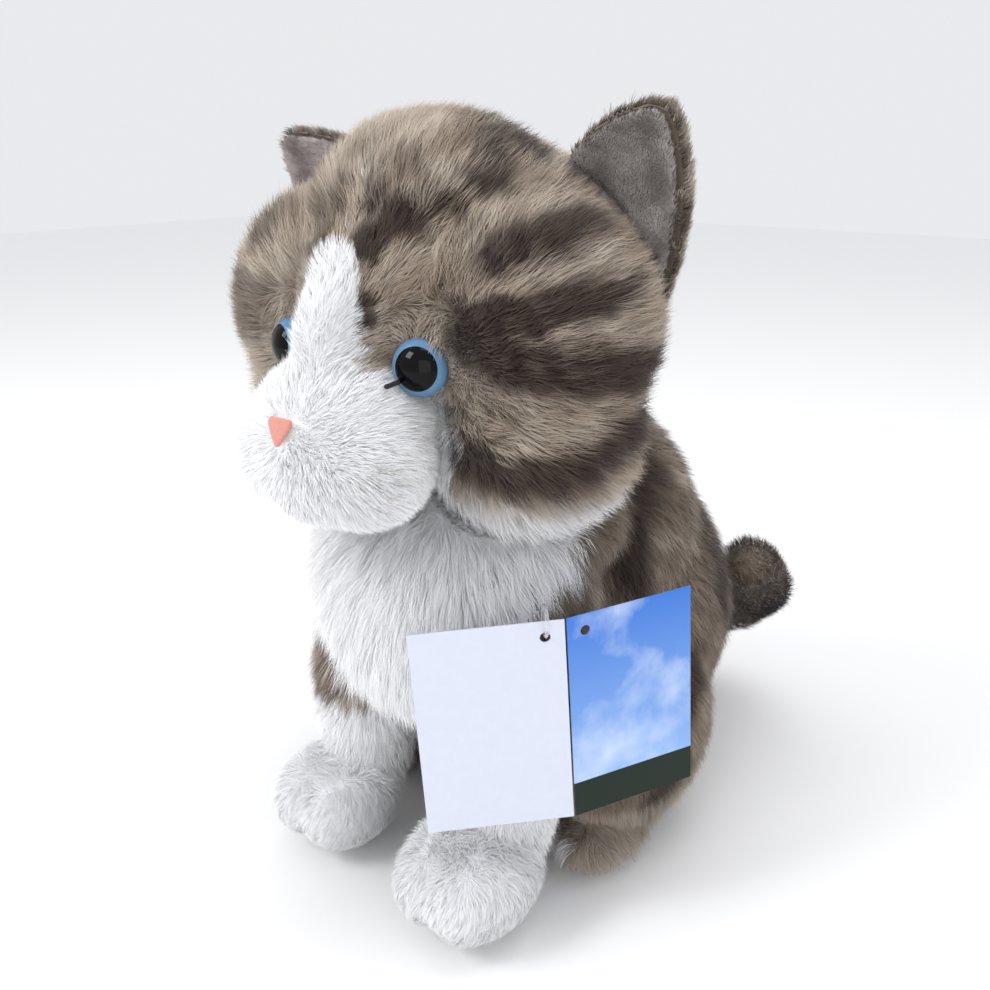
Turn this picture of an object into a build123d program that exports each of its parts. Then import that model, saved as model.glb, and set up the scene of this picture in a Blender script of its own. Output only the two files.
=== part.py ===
"""A sitting plush kitten, about 300 mm tall, in millimetres.

+Z is up, the face looks along -Y and the toy's own left is +X. The origin is the centre of the flat patch that
the seat rests on. Every sewn piece is a cover of fur fabric, PILE thick with its backing cloth, round a filling.
The neck, the ears and the tail are sewn joints that bend, and the swing tag hangs on its plastic loop.
"""

import math
import os

from build123d import *

# Fabric and clearances
PILE = 6.0  # backing cloth and fur together
LINING = 2.6  # short velour inside the ears
GAP = 0.3  # between sewn pieces on different bodies
EAR_GAP = 0.8  # between an ear's seam and the head, so that the ear can bend

# Head: centre, then half-length along its main axis and half-width across it
HEAD_AT, HEAD_ALONG, HEAD_ACROSS = (0, -74, 226), 74, 64
TEMPLE_AT, TEMPLE_R = (42, -96, 228), 42
CHEEK_AT, CHEEK_R = (43, -93, 197), 39
FOREHEAD_AT, FOREHEAD_ALONG, FOREHEAD_ACROSS = (0, -107, 238), 42, 36
MUZZLE_AT, MUZZLE_ALONG, MUZZLE_ACROSS = (0, -138, 195), 36, 31
MUZZLE_SEAM = 3.0  # how far the muzzle's seam runs outside its own surface
BLAZE_LINE = [(15, 205), (13, 222), (11.5, 236), (8, 250)]  # half-width and height of the white stripe
BLAZE_TOP_Z = 257

# Neck: the head turns about an upright line through its centre
HEAD_TURN = 15  # degrees each way
SWEPT_GAP = 1.0  # round the cheeks, which sweep an arc

# Torso
CHEST_AT, CHEST_ALONG, CHEST_ACROSS = (0, -86, 122), 50, 63
BACK_AT, BACK_R = (0, -22, 128), 66
RUMP_AT, RUMP_ALONG, RUMP_ACROSS = (0, 0, 76), 82, 73
BIB_HALF_TOP, BIB_HALF_MIDDLE, BIB_LOW_Z, BIB_BACK_Y = 54, 50, 62, -78

# Legs
HAUNCH_AT, HAUNCH_ALONG, HAUNCH_ACROSS = (52, -34, 50), 34, 49
FORELEG_AT, FORELEG_ALONG, FORELEG_ACROSS = (38, -100, 62), 56, 24
PAW_AT, PAW_ALONG, PAW_ACROSS = (38, -121, 22), 23, 29
SOCK_TOP_Z = 60
FOOT_AT, FOOT_ALONG, FOOT_ACROSS = (58, -74, 15), 34, 17

# Tail: the middle line of a curled sausage, root to tip, and its radius
TAIL_LINE = [(0, 70, 36), (12, 92, 40), (42, 98, 54), (66, 78, 78), (71, 55, 99)]
TAIL_R = 17

# Ears: inner and outer ends of the base seam, and the tip
EAR_LEFT = [(36, -67, 276), (69, -67, 219), (79, -72, 299)]
EAR_RIGHT = [(-36, -67, 276), (-69, -67, 223), (-96, -80, 290)]
EAR_THICK, EAR_CUP_R, EAR_CUP_DEEP, EAR_TIP_R, EAR_ROOT, EAR_BULGE, EAR_HEM = 5.0, 70, 4, 8, 14, 5, 3.0
EAR_BEND = 8  # degrees that an ear can bend each way

# Eyes: middle of the button, the way it looks, and its parts
EYE_AT, EYE_FACES = (31.5, -136, 221), (0.35, -0.93, 0.06)
IRIS_R, IRIS_DEEP, PUPIL_R, PUPIL_DEEP = 9.3, 5.0, 7.8, 7.0
SHANK_R, SHANK_LONG, WASHER_R, WASHER_THICK = 2.2, 20, 8.0, 1.5

# Nose and stitches
NOSE_Z, NOSE_HALF, NOSE_TALL, NOSE_PROUD = 201, 6.6, 10.5, 1.6
STITCH_R, STITCH_ENDS = 1.1, ((25.6, -143.1, 216.2), (24.3, -148.7, 215.2))

# Bean bag in the seat
POUCH_AT, POUCH_ALONG, POUCH_ACROSS, POUCH_CLOTH = (0, 0, 37), 22, 42, 1.0

# Swing tag: a folded card on a plastic loop, the fold upright
CARD_WIDE, CARD_TALL, CARD_THICK, CARD_GAP = 52, 78, 0.5, 0.35
FOLD_AT, CARD_TOP_Z = (73, -116), 139
COVER_WIDE = 48  # the cover is cut a little short of the page
TAG_SWUNG = 4.0  # degrees that the card hangs off upright, in the page's own plane
PAGE_HEADING, COVER_HEADING = 223.0, 61.0  # degrees in the XY plane, from the fold
HOLE_IN, HOLE_DOWN, HOLE_R = 7.0, 5.0, 1.8
HOLE_HANG = 0.9  # the card hangs, so the loop bears near the top of the hole
LOOP_R, LOOP_RING = 0.6, 5.0  # plastic loop: its thickness and its ring
STEM_FROM, STEM_TO, BARB_LONG = 4.6, 36, 8  # its straight stem, out from the ring's middle and into the side seam
STEM_AIM = (-17.5, -13)  # which way the stem runs, out from the page and up

os.makedirs("parts", exist_ok=True)


def sided(point, side):
    return (point[0] * side, point[1], point[2])


def oval(at, along_axis, along, across, mode=Mode.ADD):
    """An oval of revolution about along_axis, drawn with two arcs on each side of its middle, in the current part."""
    if abs(along - across) < 0.01:
        with Locations(at):
            Sphere(along, mode=mode)
        return
    side = (0, 0, 1) if abs(along_axis[2]) < 0.9 else (1, 0, 0)
    plane = Plane(origin=at, x_dir=along_axis, z_dir=Vector(*along_axis).cross(Vector(*side)).normalized())
    quarter = (along * math.cos(math.pi / 4), across * math.sin(math.pi / 4))
    with BuildSketch(plane) as half:
        with BuildLine():
            TangentArc((along, 0), quarter, tangent=(0, 1))
            TangentArc((0, across), quarter, tangent=(1, 0))
            mirror(about=Plane.YZ)
            Line((-along, 0), (along, 0))
        make_face()
    revolve(half.sketch, axis=Axis(at, along_axis), mode=mode)


def finish(piece, label):
    piece.part.label = label
    export_step(piece.part, f"parts/{label}.step")


def above_floor(inset):
    """Cuts off what would hang below the floor, where the weight flattens it."""
    with Locations((0, 0, inset)):
        Box(600, 600, 200, align=(Align.CENTER, Align.CENTER, Align.MAX), mode=Mode.SUBTRACT)


# ---- Torso ----
def torso_form(inset):
    """Chest, back and rump as one body, inset from the outer surface."""
    with BuildPart(mode=Mode.PRIVATE) as form:
        oval(CHEST_AT, (0, 1, 0), CHEST_ALONG - inset, CHEST_ACROSS - inset)
        oval(BACK_AT, (0, 0, 1), BACK_R - inset, BACK_R - inset)
        oval(RUMP_AT, (0, 0, 1), RUMP_ALONG - inset, RUMP_ACROSS - inset)
        with Locations(Location(TAIL_LINE[0], (90, 0, 0))):
            Sphere(TAIL_R + GAP + inset, mode=Mode.SUBTRACT)
        # the hollow that the turning head sweeps
        oval(HEAD_AT, (0, 0, 1), HEAD_ACROSS + GAP + inset, HEAD_ALONG + GAP + inset, mode=Mode.SUBTRACT)
        for side in (1, -1):
            for turn in (-HEAD_TURN, 0, HEAD_TURN):
                swept = Vector(CHEEK_AT[0] * side, CHEEK_AT[1] - HEAD_AT[1], 0).rotate(Axis.Z, turn)
                with Locations((swept.X, swept.Y + HEAD_AT[1], CHEEK_AT[2])):
                    Sphere(CHEEK_R + SWEPT_GAP + inset, mode=Mode.SUBTRACT)
        above_floor(inset)
    return form.part


torso_outer = torso_form(0)
torso_inner = torso_form(PILE)

# Everything in front of the chest panel's seam, which runs round a bib
with BuildPart() as bib:
    with BuildSketch(Plane.XZ.offset(-BIB_BACK_Y)) as outline:
        with BuildLine():
            Polyline((BIB_HALF_MIDDLE, 112), (BIB_HALF_TOP, 150), (BIB_HALF_TOP, 240), (-BIB_HALF_TOP, 240),
                     (-BIB_HALF_TOP, 150), (-BIB_HALF_MIDDLE, 112))
            Spline((-BIB_HALF_MIDDLE, 112), (-34, 80), (0, BIB_LOW_Z), (34, 80), (BIB_HALF_MIDDLE, 112))
        make_face()
    extrude(outline.sketch, amount=120)

with BuildPart() as pouch_outer:
    oval(POUCH_AT, (0, 0, 1), POUCH_ALONG, POUCH_ACROSS)

# The plastic loop of the swing tag, in the upright plane that faces the page's hole
page_out = Vector(math.cos(math.radians(PAGE_HEADING)), math.sin(math.radians(PAGE_HEADING)), 0)
page_faces = Vector(page_out.Y, -page_out.X, 0) * -1
hole_at = Vector(FOLD_AT[0], FOLD_AT[1], CARD_TOP_Z - HOLE_DOWN) + page_out * HOLE_IN
loop_plane = Plane(origin=hole_at, x_dir=page_faces, z_dir=page_faces.cross(Vector(0, 0, 1)))
ring_plane = Plane(origin=loop_plane.from_local_coords((0, LOOP_RING, 0)), x_dir=page_faces, z_dir=loop_plane.z_dir)
stem_dir = (ring_plane.x_dir * STEM_AIM[0] + ring_plane.y_dir * STEM_AIM[1]).normalized()

with BuildPart() as stem:
    with BuildSketch(Plane(ring_plane.origin + stem_dir * STEM_FROM, z_dir=stem_dir)):
        Circle(LOOP_R)
    extrude(amount=STEM_TO - STEM_FROM)
    with BuildSketch(Plane(ring_plane.origin + stem_dir * STEM_TO - Vector(0, 0, BARB_LONG / 2), z_dir=(0, 0, 1))):
        Circle(LOOP_R)
    extrude(amount=BARB_LONG)

with BuildPart() as tag_fastener:
    with Locations(ring_plane):
        Torus(LOOP_RING, LOOP_R)
    add(stem.part)
finish(tag_fastener, "tag_fastener")

with BuildPart() as body_cover:
    add(torso_outer)
    add(torso_inner, mode=Mode.SUBTRACT)
    add(bib.part, mode=Mode.SUBTRACT)
    add(stem.part, mode=Mode.SUBTRACT)
finish(body_cover, "body_cover")

with BuildPart() as chest_panel:
    add(torso_outer)
    add(torso_inner, mode=Mode.SUBTRACT)
    add(bib.part, mode=Mode.INTERSECT)
    add(stem.part, mode=Mode.SUBTRACT)
finish(chest_panel, "chest_panel")

with BuildPart() as body_filling:
    add(torso_inner)
    add(pouch_outer.part, mode=Mode.SUBTRACT)
    add(stem.part, mode=Mode.SUBTRACT)
finish(body_filling, "body_filling")

with BuildPart() as pellets:
    oval(POUCH_AT, (0, 0, 1), POUCH_ALONG - POUCH_CLOTH, POUCH_ACROSS - POUCH_CLOTH)
finish(pellets, "pellets")

with BuildPart() as pellet_pouch:
    add(pouch_outer.part)
    add(pellets.part, mode=Mode.SUBTRACT)
finish(pellet_pouch, "pellet_pouch")


# ---- Legs ----
def foreleg_form(side, inset):
    with BuildPart(mode=Mode.PRIVATE) as form:
        oval(sided(FORELEG_AT, side), (0, 0, 1), FORELEG_ALONG - inset, FORELEG_ACROSS - inset)
        oval(sided(PAW_AT, side), (0, 0, 1), PAW_ALONG - inset, PAW_ACROSS - inset)
        above_floor(inset)
        add(torso_outer, mode=Mode.SUBTRACT)
    return form.part


def haunch_form(side, inset, foreleg):
    with BuildPart(mode=Mode.PRIVATE) as form:
        oval(sided(HAUNCH_AT, side), (1, 0, 0), HAUNCH_ALONG - inset, HAUNCH_ACROSS - inset)
        above_floor(inset)
        add(torso_outer, mode=Mode.SUBTRACT)
        add(foreleg, mode=Mode.SUBTRACT)
    return form.part


for side, name in ((1, "left"), (-1, "right")):
    foreleg_outer = foreleg_form(side, 0)
    foreleg_inner = foreleg_form(side, PILE)
    haunch_outer = haunch_form(side, 0, foreleg_outer)
    haunch_inner = haunch_form(side, PILE, foreleg_outer)

    with BuildPart() as sleeve:
        add(foreleg_outer)
        add(foreleg_inner, mode=Mode.SUBTRACT)
        split(bisect_by=Plane.XY.offset(SOCK_TOP_Z), keep=Keep.TOP)
    finish(sleeve, f"foreleg_{name}_sleeve")
    with BuildPart() as sock:
        add(foreleg_outer)
        add(foreleg_inner, mode=Mode.SUBTRACT)
        split(bisect_by=Plane.XY.offset(SOCK_TOP_Z), keep=Keep.BOTTOM)
    finish(sock, f"foreleg_{name}_sock")
    with BuildPart() as leg_filling:
        add(foreleg_inner)
    finish(leg_filling, f"foreleg_{name}_filling")

    with BuildPart() as haunch_cover:
        add(haunch_outer)
        add(haunch_inner, mode=Mode.SUBTRACT)
    finish(haunch_cover, f"haunch_{name}_cover")
    with BuildPart() as haunch_filling:
        add(haunch_inner)
    finish(haunch_filling, f"haunch_{name}_filling")

    with BuildPart() as foot:
        oval(sided(FOOT_AT, side), (0, 1, 0), FOOT_ALONG, FOOT_ACROSS)
        above_floor(0)
        add(torso_outer, mode=Mode.SUBTRACT)
        add(foreleg_outer, mode=Mode.SUBTRACT)
        add(haunch_outer, mode=Mode.SUBTRACT)
    finish(foot, f"hind_foot_{name}")


# ---- Head ----
def head_form(inset):
    with BuildPart(mode=Mode.PRIVATE) as form:
        oval(HEAD_AT, (1, 0, 0), HEAD_ALONG - inset, HEAD_ACROSS - inset)
        for side in (1, -1):
            oval(sided(TEMPLE_AT, side), (0, 0, 1), TEMPLE_R - inset, TEMPLE_R - inset)
            oval(sided(CHEEK_AT, side), (0, 0, 1), CHEEK_R - inset, CHEEK_R - inset)
        oval(FOREHEAD_AT, (0, 1, 0), FOREHEAD_ALONG - inset, FOREHEAD_ACROSS - inset)
        oval(MUZZLE_AT, (1, 0, 0), MUZZLE_ALONG - inset, MUZZLE_ACROSS - inset)
    return form.part


head_outer = head_form(0)
head_inner = head_form(PILE)

eyes = []
for side, name in ((1, "left"), (-1, "right")):
    eye_plane = Plane(origin=sided(EYE_AT, side), z_dir=sided(EYE_FACES, side))
    looks = (eye_plane.z_dir.X, eye_plane.z_dir.Y, eye_plane.z_dir.Z)
    with BuildPart() as shank:
        with BuildSketch(eye_plane):
            Circle(SHANK_R)
        extrude(amount=-SHANK_LONG)
    with BuildPart() as iris:
        oval(sided(EYE_AT, side), looks, IRIS_DEEP, IRIS_R)
        add(shank.part)
    finish(iris, f"eye_{name}_iris")
    with BuildPart() as dome:
        oval(sided(EYE_AT, side), looks, PUPIL_DEEP, IRIS_R + 0.5)
    with BuildPart() as pupil:
        with BuildSketch(eye_plane):
            Circle(PUPIL_R)
        extrude(amount=20)
        add(dome.part, mode=Mode.INTERSECT)
        add(iris.part, mode=Mode.SUBTRACT)
    finish(pupil, f"eye_{name}_pupil")
    with BuildPart() as washer:
        with BuildSketch(eye_plane.offset(-(SHANK_LONG - 4))):
            Circle(WASHER_R)
        extrude(amount=-WASHER_THICK)
        add(iris.part, mode=Mode.SUBTRACT)
    finish(washer, f"eye_{name}_washer")
    eyes += [iris.part, pupil.part, washer.part]

with BuildPart() as muzzle_space:
    oval(MUZZLE_AT, (1, 0, 0), MUZZLE_ALONG + MUZZLE_SEAM, MUZZLE_ACROSS + MUZZLE_SEAM)

with BuildPart() as blaze_space:
    with BuildSketch(Plane.XZ.offset(100)) as blaze_outline:
        with BuildLine():
            top = BLAZE_LINE[-1]
            Polyline([(-half, height) for half, height in reversed(BLAZE_LINE)] + BLAZE_LINE)
            Spline(top, (0, BLAZE_TOP_Z), (-top[0], top[1]))
        make_face()
    extrude(blaze_outline.sketch, amount=60)
    add(muzzle_space.part, mode=Mode.SUBTRACT)

with BuildPart() as head_shell:
    add(head_outer)
    add(head_inner, mode=Mode.SUBTRACT)
    for eye in eyes:
        add(eye, mode=Mode.SUBTRACT)

with BuildPart() as head_cover:
    add(head_shell.part)
    add(muzzle_space.part, mode=Mode.SUBTRACT)
    add(blaze_space.part, mode=Mode.SUBTRACT)
finish(head_cover, "head_cover")

with BuildPart() as blaze_panel:
    add(head_shell.part)
    add(blaze_space.part, mode=Mode.INTERSECT)
finish(blaze_panel, "blaze_panel")

with BuildPart() as muzzle_cover:
    add(head_shell.part)
    add(muzzle_space.part, mode=Mode.INTERSECT)
finish(muzzle_cover, "muzzle_cover")

with BuildPart() as head_filling:
    add(head_inner)
    for eye in eyes:
        add(eye, mode=Mode.SUBTRACT)
finish(head_filling, "head_filling")

# The nose follows the muzzle's surface
with BuildPart() as muzzle_solid:
    oval(MUZZLE_AT, (1, 0, 0), MUZZLE_ALONG, MUZZLE_ACROSS)
with BuildPart() as nose_skin:
    oval(MUZZLE_AT, (1, 0, 0), MUZZLE_ALONG + NOSE_PROUD, MUZZLE_ACROSS + NOSE_PROUD)

with BuildPart() as nose:
    with BuildSketch(Plane.XZ.offset(150)) as nose_outline:
        with BuildLine():
            Polyline((-NOSE_HALF, NOSE_Z + NOSE_TALL / 2), (NOSE_HALF, NOSE_Z + NOSE_TALL / 2),
                     (0, NOSE_Z - NOSE_TALL / 2), close=True)
        make_face()
        fillet(nose_outline.vertices(), 1.6)
    extrude(nose_outline.sketch, amount=40)
    add(nose_skin.part, mode=Mode.INTERSECT)
    add(muzzle_solid.part, mode=Mode.SUBTRACT)
finish(nose, "nose")

# A stitch runs from each eye's inner corner towards the nose
for side, name in ((1, "left"), (-1, "right")):
    first, last = (Vector(*sided(end, side)) for end in STITCH_ENDS)
    with BuildPart() as stitch:
        with BuildSketch(Plane(first, z_dir=last - first)):
            Circle(STITCH_R)
        extrude(amount=(last - first).length)
        with Locations(first, last):
            Sphere(STITCH_R)
        add(head_outer, mode=Mode.SUBTRACT)
    finish(stitch, f"tear_stitch_{name}")


# ---- Ears ----
for name, (inner_end, outer_end, tip) in (("left", EAR_LEFT), ("right", EAR_RIGHT)):
    middle = (Vector(*inner_end) + Vector(*outer_end)) * 0.5
    inward = (Vector(*inner_end) - Vector(*outer_end)).normalized()
    half = (Vector(*inner_end) - Vector(*outer_end)).length / 2
    back = inward.cross(Vector(*tip) - middle).normalized()
    ear_plane = Plane(origin=middle, x_dir=inward, z_dir=back)
    front = -1 if back.Y > 0 else 1
    tip_at = ear_plane.to_local_coords(Vector(*tip))
    inner_mid = ((half + tip_at.X) / 2 + EAR_BULGE, tip_at.Y / 2)
    outer_mid = ((tip_at.X - half) / 2 - EAR_BULGE * 0.9, tip_at.Y / 2 + EAR_BULGE)

    with BuildSketch() as ear_outline:
        with BuildLine():
            Polyline((-half, 0), (-half + 3, -EAR_ROOT), (half - 3, -EAR_ROOT), (half, 0))
            ThreePointArc((half, 0), inner_mid, (tip_at.X, tip_at.Y))
            ThreePointArc((tip_at.X, tip_at.Y), outer_mid, (-half, 0))
        make_face()
        fillet(ear_outline.vertices().sort_by(Axis.Y)[-1], EAR_TIP_R)
    with BuildSketch() as lining_outline:
        add(ear_outline.sketch)
        offset(amount=-EAR_HEM)
    cup_at = ear_plane.location * Location((0, 0, front * (EAR_CUP_R - EAR_CUP_DEEP)), (90, 0, 0))
    clear = []
    for at, axis, along, across in (
        (HEAD_AT, (1, 0, 0), HEAD_ALONG, HEAD_ACROSS),
        (sided(TEMPLE_AT, 1 if name == "left" else -1), (0, 0, 1), TEMPLE_R, TEMPLE_R),
    ):
        with BuildPart() as lump:
            oval(at, axis, along + GAP, across + GAP)
        for bend in (-EAR_BEND, 0, EAR_BEND):
            clear.append(lump.part.rotate(Axis(tuple(middle), tuple(inward)), bend))

    with BuildPart() as ear_back:
        with BuildSketch(ear_plane):
            add(ear_outline.sketch)
        extrude(amount=30, both=True)
        with Locations(cup_at):
            Cylinder(EAR_CUP_R + EAR_THICK / 2, 300, mode=Mode.INTERSECT)
            Cylinder(EAR_CUP_R - EAR_THICK / 2, 300, mode=Mode.SUBTRACT)
        for lump in clear:
            add(lump, mode=Mode.SUBTRACT)
    finish(ear_back, f"ear_{name}_back")
    with BuildPart() as ear_lining:
        with BuildSketch(ear_plane):
            add(lining_outline.sketch)
        extrude(amount=30, both=True)
        with Locations(cup_at):
            Cylinder(EAR_CUP_R - EAR_THICK / 2, 300, mode=Mode.INTERSECT)
            Cylinder(EAR_CUP_R - EAR_THICK / 2 - LINING, 300, mode=Mode.SUBTRACT)
        for lump in clear:
            add(lump, mode=Mode.SUBTRACT)
    finish(ear_lining, f"ear_{name}_lining")


# ---- Tail ----
def tail_form(inset):
    with BuildPart(mode=Mode.PRIVATE) as form:
        with BuildLine() as middle_line:
            Spline(TAIL_LINE)
        with BuildSketch(Plane(middle_line.line @ 0, z_dir=middle_line.line % 0)) as ring:
            Circle(TAIL_R - inset)
        sweep(ring.sketch, path=middle_line.line)
        oval(TAIL_LINE[0], (0, 0, 1), TAIL_R - inset, TAIL_R - inset)
        oval(TAIL_LINE[-1], (0, 0, 1), TAIL_R - inset, TAIL_R - inset)
    return form.part


tail_outer = tail_form(0)
with BuildPart() as tail_filling:
    add(tail_form(PILE))
finish(tail_filling, "tail_filling")
with BuildPart() as tail_cover:
    add(tail_outer)
    add(tail_filling.part, mode=Mode.SUBTRACT)
finish(tail_cover, "tail_cover")


# ---- Swing tag ----
def hung(direction):
    """A direction in the upright card, turned by how far the tag has swung on its loop."""
    return direction.rotate(Axis((0, 0, 0), page_faces), TAG_SWUNG)


cover_out = Vector(math.cos(math.radians(COVER_HEADING)), math.sin(math.radians(COVER_HEADING)), 0)
fold_top = hole_at + hung(Vector(FOLD_AT[0], FOLD_AT[1], CARD_TOP_Z) - hole_at)
for label, out, wide in (("tag_page", page_out, CARD_WIDE), ("tag_cover", cover_out, COVER_WIDE)):
    leaf_plane = Plane(origin=fold_top, x_dir=hung(out), z_dir=hung(out.cross(Vector(0, 0, 1))))
    with BuildPart() as leaf:
        with BuildSketch(leaf_plane):
            with Locations((CARD_GAP, 0)):
                Rectangle(wide - CARD_GAP, CARD_TALL, align=(Align.MIN, Align.MAX))
            with Locations((HOLE_IN, -HOLE_DOWN - HOLE_HANG)):
                Circle(HOLE_R, mode=Mode.SUBTRACT)
        extrude(amount=CARD_THICK / 2, both=True)
    finish(leaf, label)
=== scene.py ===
import math

import bpy
import numpy as np
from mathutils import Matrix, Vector


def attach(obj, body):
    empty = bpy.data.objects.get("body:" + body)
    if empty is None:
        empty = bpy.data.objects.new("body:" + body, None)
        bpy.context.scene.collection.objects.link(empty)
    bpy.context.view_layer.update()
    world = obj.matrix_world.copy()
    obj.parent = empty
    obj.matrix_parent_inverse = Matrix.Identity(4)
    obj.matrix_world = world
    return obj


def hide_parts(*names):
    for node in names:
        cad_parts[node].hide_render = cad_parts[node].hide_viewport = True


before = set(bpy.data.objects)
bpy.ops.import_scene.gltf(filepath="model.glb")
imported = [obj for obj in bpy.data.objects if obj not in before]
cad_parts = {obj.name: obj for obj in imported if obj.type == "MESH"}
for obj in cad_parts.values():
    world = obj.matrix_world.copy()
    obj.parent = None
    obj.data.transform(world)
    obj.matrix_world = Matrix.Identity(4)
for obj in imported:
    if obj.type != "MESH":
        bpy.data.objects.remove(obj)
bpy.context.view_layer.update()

# ---- Camera, floor and light ----
# A view from the toy's left and above, from about 0.4 m. A matt white floor and three soft lamps, the brightest at
# the toy's right like a window, with an even pale room round them.
camera = bpy.data.objects.new("camera", bpy.data.cameras.new("camera"))
bpy.context.scene.collection.objects.link(camera)
camera.location = (0.2314, -0.3583, 0.2868)
camera.rotation_euler = (Vector((0, -0.062, 0.150)) - camera.location).to_track_quat("-Z", "Y").to_euler()
camera.data.sensor_width, camera.data.lens = 36, 35.8
camera.data.shift_x, camera.data.shift_y = 0.003, 0.002
camera.data.clip_start = 0.01
bpy.context.scene.camera = camera


def linear(hex_colour):
    """An sRGB hex colour as linear red, green, blue and alpha."""
    parts = [int(hex_colour[i:i + 2], 16) / 255 for i in (1, 3, 5)]
    return tuple(c / 12.92 if c <= 0.04045 else ((c + 0.055) / 1.055) ** 2.4 for c in parts) + (1.0,)


def material(name, **constants):
    """A new material, with constants on its Principled shader's own sockets; returns it and the shader."""
    made = bpy.data.materials.new(name)
    made.use_nodes = True
    shader = made.node_tree.nodes["Principled BSDF"]
    for key, value in constants.items():
        shader.inputs[key.replace("_", " ")].default_value = value
    return made, shader


bpy.ops.mesh.primitive_plane_add(size=6, location=(0, 0, 0))
floor = bpy.context.object
floor.name = "floor"
# matt wall paint: even and without a highlight
floor_paint, _ = material("matt_paint", Base_Color=linear("#f8f8f8"), Roughness=0.9)
floor.data.materials.append(floor_paint)

world = bpy.data.worlds.new("studio")
bpy.context.scene.world = world
world.use_nodes = True
world.node_tree.nodes["Background"].inputs["Color"].default_value = linear("#f7f8fb")
world.node_tree.nodes["Background"].inputs["Strength"].default_value = 0.88
for name, place, aim, size, power in (
    ("window", (-0.45, -0.95, 0.95), (0, -0.07, 0.17), 0.45, 6.8),
    ("top", (0.15, 0.1, 1.3), (0, -0.05, 0.15), 0.9, 4.4),
    ("fill", (0.75, -0.95, 0.35), (0, -0.05, 0.12), 0.9, 2.7),
):
    lamp = bpy.data.objects.new(name, bpy.data.lights.new(name, "AREA"))
    lamp.data.size, lamp.data.energy = size, power
    lamp.location = place
    lamp.rotation_euler = (Vector(aim) - Vector(place)).to_track_quat("-Z", "Y").to_euler()
    bpy.context.scene.collection.objects.link(lamp)
bpy.context.scene.view_settings.view_transform = "Standard"


# ---- Stuffed skins ----
# The knitted backing cloth of the pile, drawn tight over loose filling: ovals added in edit mode, run together by a
# voxel remesh and smoothed. Sizes are in millimetres, at the fur's outer face, and sink is the cloth's depth under it.
MM = 0.001
HEAD_AT = (0, -74, 226)
NECK_TURN = 15
SEAT_CLEARANCE = 1.0


def skin(name, lumps, voxel, smooth):
    """A closed cloth form over lumps given as centre, radii and sink."""
    made = bpy.data.objects.new(name, bpy.data.meshes.new(name))
    bpy.context.scene.collection.objects.link(made)
    bpy.context.view_layer.objects.active = made
    made.select_set(True)
    bpy.ops.object.mode_set(mode="EDIT")
    for at, radii, sink in lumps:
        bpy.ops.mesh.primitive_uv_sphere_add(segments=40, ring_count=24, radius=MM,
                                             location=[c * MM for c in at], scale=[r - sink for r in radii])
    bpy.ops.object.mode_set(mode="OBJECT")
    remesh = made.modifiers.new("one cloth", "REMESH")
    remesh.mode, remesh.voxel_size = "VOXEL", voxel * MM
    softened = made.modifiers.new("soft seams", "SMOOTH")
    softened.factor, softened.iterations = 0.5, smooth
    for modifier in ("one cloth", "soft seams"):
        bpy.ops.object.modifier_apply(modifier=modifier)
    made.select_set(False)
    return made


def points_of(mesh):
    """The mesh's vertices as an array of rows."""
    co = np.empty(len(mesh.vertices) * 3)
    mesh.vertices.foreach_get("co", co)
    return co.reshape(-1, 3)


def push_out(co, centre, radii):
    """Moves the points inside an oval out to its surface."""
    local = (co - np.array(centre)) / np.array(radii)
    depth = np.linalg.norm(local, axis=1)
    inside = depth < 1
    co[inside] = np.array(centre) + local[inside] / depth[inside, None] * np.array(radii)


# head, forehead, muzzle, chin, bridge of the nose and crown, then temples, cheeks and muzzle pads
head_lumps = [(HEAD_AT, (74, 62, 66), 7), ((0, -107, 238), (37, 43, 37), 5), ((0, -141, 195), (34, 31, 31), 4),
              ((0, -150, 186), (26, 23, 21), 4), ((0, -128, 222), (18, 32, 34), 4), ((0, -90, 262), (48, 48, 36), 7)]
# chest, back and rump, then haunches, forelegs and hind feet, toes and shoulders
body_lumps = [((0, -86, 122), (64, 50, 62), 8), ((0, -22, 128), (68, 66, 64), 8), ((0, 0, 82), (76, 72, 82), 8)]
for side in (1, -1):
    head_lumps += [((43 * side, -96, 229), (44, 44, 45), 6), ((44 * side, -94, 196), (38, 42, 40), 7),
                   ((14 * side, -147, 190), (25, 24, 24), 4)]
    body_lumps += [((52 * side, -34, 50), (34, 50, 48), 7), ((38 * side, -100, 60), (24, 24, 56), 6),
                   ((56 * side, -56, 14), (18, 30, 14), 5)]
for x in (-8, 8):
    body_lumps += [((37 + x, -123, 22), (21, 31, 22), 5), ((-39 + x, -118, 22), (20, 29, 22), 5)]
body_lumps += [((0, -74, 150), (66, 52, 30), 8)]
tail_line = np.array([(0, 70, 36), (12, 92, 40), (42, 98, 54), (63, 75, 78), (66, 51, 97)], float)
steps = np.linspace(0, len(tail_line) - 1, 17)
tail_points = np.stack([np.interp(steps, range(len(tail_line)), tail_line[:, i]) for i in range(3)], 1)
tail_lumps = [(tuple(p), (17, 17, 17), 6) for p in tail_points]

head_skin = skin("head_skin", head_lumps, 2.2, 14)
body_skin = skin("body_skin", body_lumps, 2.6, 12)
tail_skin = skin("tail_skin", tail_lumps, 1.8, 12)
co = points_of(body_skin.data) / MM
push_out(co, HEAD_AT, (77, 77, 67))
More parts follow.
